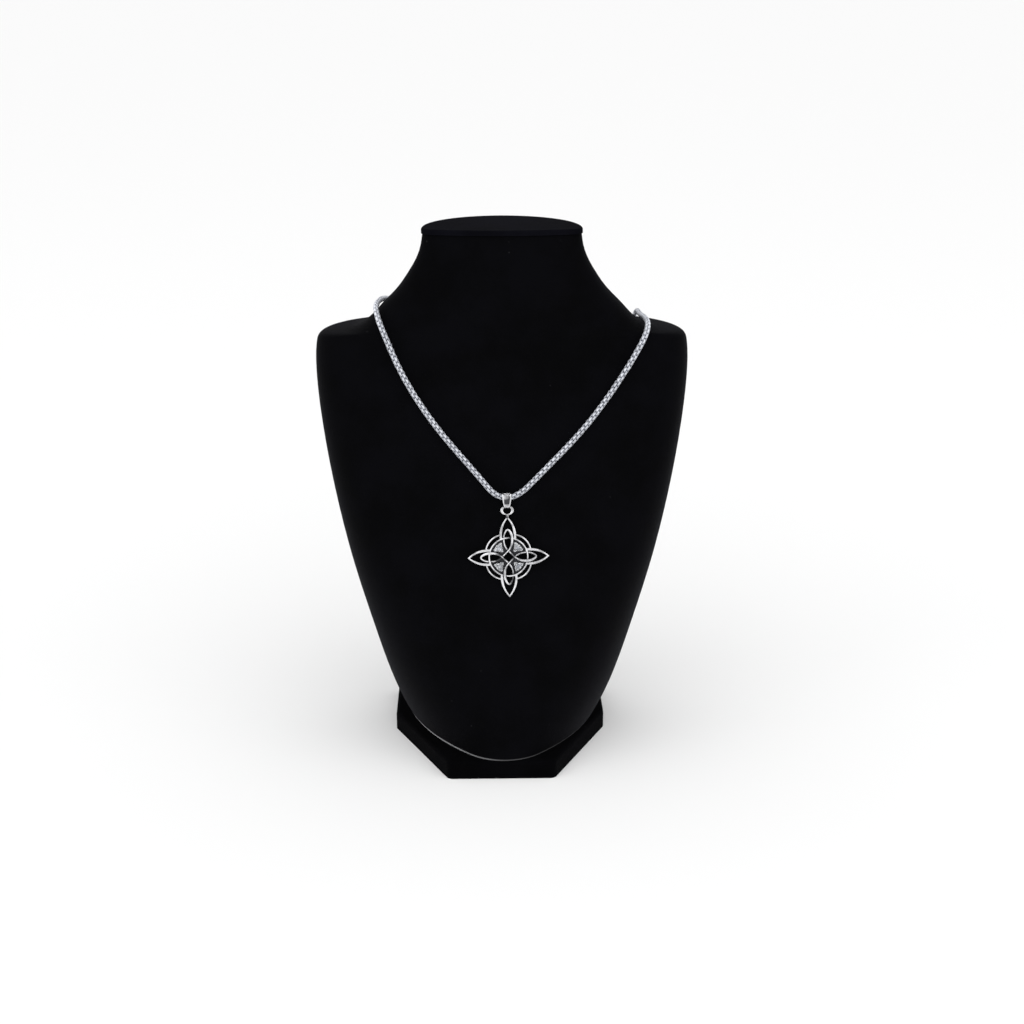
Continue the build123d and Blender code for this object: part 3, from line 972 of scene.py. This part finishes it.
# %% Link shape
link_pitch = 1.15 * mm
band_half = 0.60 * mm
chain_end = 0.9 * mm
link_inner = np.array((0.60, 0.62)) * mm
link_outer = np.array((0.89, 0.90)) * mm
inner_chamfer = 0.14 * mm
outer_chamfer = 0.34 * mm
band_thick_share = np.array([1.0, 1.3, 1.4, 1.3, 1.0, 0.0, 0.0])
band_side_share = np.array([-1.0, -0.55, 0.0, 0.55, 1.0, 0.92, -0.92])
# Painted shade: the band's sides and inner face, which face into the link, are darker than its outer face
band_painted_shade = np.array([0.40, 0.0, 0.0, 0.0, 0.40, 0.8, 0.8])


def chamfered_frame(half, chamfer):
    """The eight corners of a rectangle with its corners cut off, going round it."""
    long, wide = half
    short, narrow = half - chamfer
    return np.array((
        (long, -narrow), (long, narrow), (short, wide), (-short, wide),
        (-long, narrow), (-long, -narrow), (-short, -wide), (short, -wide),
    ))


def link_template():
    """A link about its middle: each band point mixes the frame's inner and outer outline by the band's
    thickness share, and lies out of the frame's plane by its side share."""
    inner = chamfered_frame(link_inner, inner_chamfer)[:, None, :]
    outer = chamfered_frame(link_outer, outer_chamfer)[:, None, :]
    outline = inner + (outer - inner) * band_thick_share[None, :, None]
    side = np.broadcast_to(band_side_share * band_half, outline.shape[:2])
    return np.concatenate((outline, side[..., None]), axis=-1)


template = link_template()
print("a link has", template.shape[0] * template.shape[1], "points")

# %% Links along the line
lift_places = [-8, 12, 32]
lift_degrees = [degrees(front_lean), 90, 175]
tilt_spread = radians(2.0)
shade_spread = 0.18


def unit(vectors):
    """Vectors scaled to length 1."""
    return vectors / np.linalg.norm(vectors, axis=-1, keepdims=True)


def chain_at(reach):
    """Points of the chain's line at distances along it."""
    return np.column_stack([np.interp(reach, chain_reach, chain_line[:, axis]) for axis in range(3)])


def link_frames(count):
    """Middle, along, and two cross directions of each link. The outward direction turns with y, from the
    chest's own over the shoulder's top to the back's, and the cross directions lie at 45 degrees to it."""
    reach = np.linspace(chain_end, chain_reach[-1] - chain_end, count)
    middle = chain_at(reach)
    along = unit(chain_at(reach + link_pitch / 2) - chain_at(reach - link_pitch / 2))
    lift = np.radians(np.interp(middle[:, 1] / mm, lift_places, lift_degrees))
    outward = np.column_stack((np.zeros(count), -np.cos(lift), np.sin(lift)))
    outward = unit(outward - (outward * along).sum(axis=1)[:, None] * along)
    sideways = np.cross(along, outward)
    return middle, along, unit(outward + sideways), unit(outward - sideways)


link_count = int(round((chain_reach[-1] - 2 * chain_end) / link_pitch)) + 1
middle, along, first, second = link_frames(link_count)
odd = (np.arange(link_count) % 2 == 1)[:, None]
# A quarter turn about the chain keeps the frame's handedness, so every link's faces point outwards
across = np.where(odd, second, first)
through = np.where(odd, -first, second)
tilt = random.normal(0, tilt_spread, link_count)[:, None]
tilted_across = np.cos(tilt) * across + np.sin(tilt) * through
tilted_through = np.cos(tilt) * through - np.sin(tilt) * across
links = (
    middle[:, None, None, :]
    + template[None, :, :, 0, None] * along[:, None, None, :]
    + template[None, :, :, 1, None] * tilted_across[:, None, None, :]
    + template[None, :, :, 2, None] * tilted_through[:, None, None, :]
)
print("chain of", link_count, "links")

# %% Chain piece
chain = Shells()
for link, shade in zip(links, random.uniform(0, shade_spread, link_count)):
    chain.add(link, np.clip(band_painted_shade + shade, 0, 1))
chain_piece = chain.to_object("box_chain", sharp_degrees=50)
chain_piece.data.materials.append(chain_steel)
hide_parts("chain")

# %% [markdown]
# ## The clasp
#
# The clasp hangs behind the bust. It is a plain barrel and its solid is right as it
# is, so it only gets a metal of its own, without the point value of patina and painted
# shade that the new pieces carry. Fine turning lines run round it.

# %% Clasp metal
turning_pitch = 0.18 * mm


def barrel_steel():
    """Steel with fine rings across the barrel: a wave of the place along x, roughened by noise."""
    material, tree, shader = new_material("barrel steel")
    worn = group_outputs(tree, worn_metal, {"Tone Scale": 250.0, "Grain Scale": 4000.0})
    along = axes_of(tree, object_place(tree))["X"]
    wave = math_node(tree, "SINE", math_node(tree, "MULTIPLY", along, 2 * pi / turning_pitch))
    height = math_node(tree, "ADD", math_node(tree, "MULTIPLY", wave, 0.25), worn["Grain"])
    feed(tree, shader, {
        "Base Color": mix_colour(tree, worn["Tone"], (0.80, 0.81, 0.84, 1), (0.66, 0.67, 0.70, 1)),
        "Roughness": ramp_between(tree, worn["Tone"], 0, 1, 0.2, 0.3),
        "Metallic": 1.0,
        "Normal": bump(tree, height, 0.008 * mm, 0.6),
    })
    return material


def dress(node, material):
    """Gives a solid its material in every slot."""
    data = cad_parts[node].data
    data.materials.clear()
    data.materials.append(material)


dress("clasp", barrel_steel())
print("clasp dressed")

# %% [markdown]
# ## The velvet
#
# Velvet is a dense pile of fine fibres. Seen straight on it swallows light, and seen at
# a grazing angle the fibre tips catch it, which is what the shader's sheen does. The
# pile is too fine to model, so a group gives its height and the slow patches where
# it has been brushed one way or another, and a few specks of lint. At the body's
# lower rim the velvet ends in a thin pale edge, which shows as a bright line, with a
# painted highlight that makes it brighter and taller towards the left. The cap and
# the foot get copies of the body's velvet: the cap's is lighter and bluer, as painted
# light on its top, and the foot's is darker, as painted shade.


# %% Velvet pile group
def make_pile():
    """Group of a fine noise for the fibres, a slow one for brushed patches, and sparse specks of lint."""
    group = bpy.data.node_groups.new("velvet pile", "ShaderNodeTree")
    value_socket(group, "Fibre Scale", "INPUT", 5000.0)
    value_socket(group, "Height", "OUTPUT")
    value_socket(group, "Brushed", "OUTPUT")
    value_socket(group, "Lint", "OUTPUT")
    inside = group.nodes.new("NodeGroupInput")
    outside = group.nodes.new("NodeGroupOutput")
    cells = group.nodes.new("ShaderNodeTexVoronoi")
    feed(group, cells, {"Vector": object_place(group), "Scale": 260.0})
    colour = group.nodes.new("ShaderNodeSeparateColor")
    feed(group, colour, {"Color": cells.outputs["Color"]})
    chosen = math_node(group, "GREATER_THAN", colour.outputs["Red"], 0.94)
    close = ramp_between(group, cells.outputs["Distance"], 0.10, 0.04)
    feed(group, outside, {
        "Height": noise(group, inside.outputs["Fibre Scale"], detail=3.0, roughness=0.7),
        "Brushed": ramp_between(group, noise(group, scale=45.0, detail=4.0, roughness=0.6), 0.35, 0.65),
        "Lint": math_node(group, "MULTIPLY", chosen, close),
    })
    return group


velvet_pile = make_pile()
print("groups:", worn_metal.name, "and", velvet_pile.name)


# %% Velvets
def velvet(name, deep, brushed, sheen, rim=None):
    """Black velvet. rim gives the lowest and highest z of a pale edge, in metres. A painted highlight
    makes the edge brighter and up to half a millimetre taller on the left, where the light comes from."""
    material, tree, shader = new_material(name)
    pile = group_outputs(tree, velvet_pile, {"Fibre Scale": 5000.0})
    colour = mix_colour(tree, pile["Brushed"], deep, brushed)
    colour = mix_colour(tree, pile["Lint"], colour, (0.012, 0.012, 0.013, 1))
    if rim is not None:
        place = axes_of(tree, object_place(tree))
        # Painted highlight: the pale edge is brighter and taller towards the left, where the light comes
        # from
        left = ramp_between(tree, place["X"], 4 * mm, -30 * mm, 0.12, 1.0)
        taller = math_node(tree, "MULTIPLY", left, 0.5 * mm)
        low = ramp_between(tree, math_node(tree, "SUBTRACT", place["Z"], taller), rim[1], rim[0])
        pale_edge_and_highlight = math_node(tree, "MULTIPLY", low, left)
        colour = mix_colour(tree, pale_edge_and_highlight, colour, (0.38, 0.38, 0.39, 1))
    feed(tree, shader, {
        "Base Color": colour,
        "Roughness": ramp_between(tree, pile["Brushed"], 0, 1, 0.85, 0.95),
        "Specular IOR Level": 0.02,
        "Sheen Weight": sheen,
        "Sheen Roughness": 0.35,
        "Sheen Tint": (0.8, 0.8, 0.9, 1),
        "Normal": bump(tree, pile["Height"], 0.12 * mm, 0.7),
    })
    return material


body_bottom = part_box("bust_body")[0].z
dress("bust_body", velvet(
    "body velvet",
    deep=(0.0012, 0.0012, 0.0015, 1), brushed=(0.0020, 0.0020, 0.0027, 1), sheen=0.045,
    rim=(body_bottom + 0.2 * mm, body_bottom + 0.5 * mm),
))
# The cap's velvet is a lighter, bluer copy of the body's: painted light on the cap's top
dress("neck_cap", velvet(
    "cap velvet painted lighter",
    deep=(0.0018, 0.0018, 0.0030, 1), brushed=(0.0034, 0.0034, 0.0054, 1), sheen=0.008,
))
# The foot's velvet is a darker copy of the body's: painted shade on the foot
dress("bust_foot", velvet(
    "foot velvet painted darker",
    deep=(0.0007, 0.0007, 0.0010, 1), brushed=(0.0014, 0.0014, 0.0019, 1), sheen=0.004,
))
print("bust dressed in velvet")

# %% [markdown]
# ## Floor and light
#
# The photograph was taken on white, with a soft shadow to both sides of the foot. A
# large floor, the world and three weak panels do that. The world answers each kind
# of ray in its own way. The camera sees plain white. Matt surfaces get more light
# from the front than from behind. Polished metal mirrors a room that is bright at the
# sides and above, dimmer in the middle, and dark behind the bust, so that the chain
# doesn't turn white where it goes over the shoulders.

# %% Floor
floor_mesh = bpy.data.meshes.new("floor")
floor_half = 12.0
corner_signs = ((-1, -1), (1, -1), (1, 1), (-1, 1))
floor_corners = [(floor_half * across, floor_half * back, 0) for across, back in corner_signs]
floor_mesh.from_pydata(floor_corners, [], [(0, 1, 2, 3)])
floor = add_object("floor", floor_mesh)
floor_material, floor_tree, floor_shader = new_material("white floor")
feed(floor_tree, floor_shader, {
    "Base Color": (0.9, 0.9, 0.9, 1),
    "Roughness": 0.9,
    "Specular IOR Level": 0.1,
})
floor_mesh.materials.append(floor_material)
print("floor", 2 * floor_half, "m wide")

# %% World
world = bpy.data.worlds.new("studio")
world.use_nodes = True
sky = world.node_tree
direction = axes_of(sky, sky.nodes.new("ShaderNodeTexCoord").outputs["Generated"])
# For matt surfaces: 1.09 - 0.8 y, which is 1.89 straight in front and 0.29 straight behind
from_front = math_node(sky, "ADD", math_node(sky, "MULTIPLY", direction["Y"], -0.8), 1.09)
# For mirrors: 0.6 in the middle to 1.35 at the sides, up to 0.25 more above, all times 0.35 behind
beside = ramp_between(sky, math_node(sky, "ABSOLUTE", direction["X"]), 0.1, 0.65, 0.6, 1.35)
above = ramp_between(sky, direction["Z"], 0.3, 0.9, 0.0, 0.25)
behind_bust = ramp_between(sky, direction["Y"], 0.2, 0.9, 1.0, 0.35)
mirrored = math_node(sky, "MULTIPLY", math_node(sky, "ADD", beside, above), behind_bust)
ray_kind = sky.nodes.new("ShaderNodeLightPath").outputs
matt_or_mirror = sky.nodes.new("ShaderNodeMix")
feed(sky, matt_or_mirror, {"Factor": ray_kind["Is Glossy Ray"], "A": from_front, "B": mirrored})
seen = sky.nodes.new("ShaderNodeMix")
feed(sky, seen, {"Factor": ray_kind["Is Camera Ray"], "A": matt_or_mirror.outputs["Result"], "B": 1.0})
feed(sky, sky.nodes["Background"], {"Color": (1, 1, 1, 1), "Strength": seen.outputs["Result"]})
bpy.context.scene.world = world
print("world:", world.name)

# %% Panels
bust_middle = Vector((0, 0, 0.1))


def panel(name, place, size, power):
    """A light panel at a place, turned to the bust's middle, that the camera doesn't see."""
    data = bpy.data.lights.new(name, "AREA")
    data.shape = "RECTANGLE"
    data.size = size[0]
    data.size_y = size[1]
    data.energy = power
    light = add_object(name, data)
    light.location = place
    light.rotation_euler = (bust_middle - Vector(place)).to_track_quat("-Z", "Y").to_euler()
    light.visible_camera = False


panel("top panel", place=(0, 0.1, 1.2), size=(1.0, 1.0), power=0.6)
panel("left panel", place=(-0.9, -0.5, 0.7), size=(0.5, 0.8), power=0.6)
panel("right panel", place=(0.9, -0.4, 0.7), size=(0.5, 0.8), power=0.4)
view = bpy.context.scene.view_settings
view.view_transform = "Standard"
view.exposure = 0.0
print("lights placed")
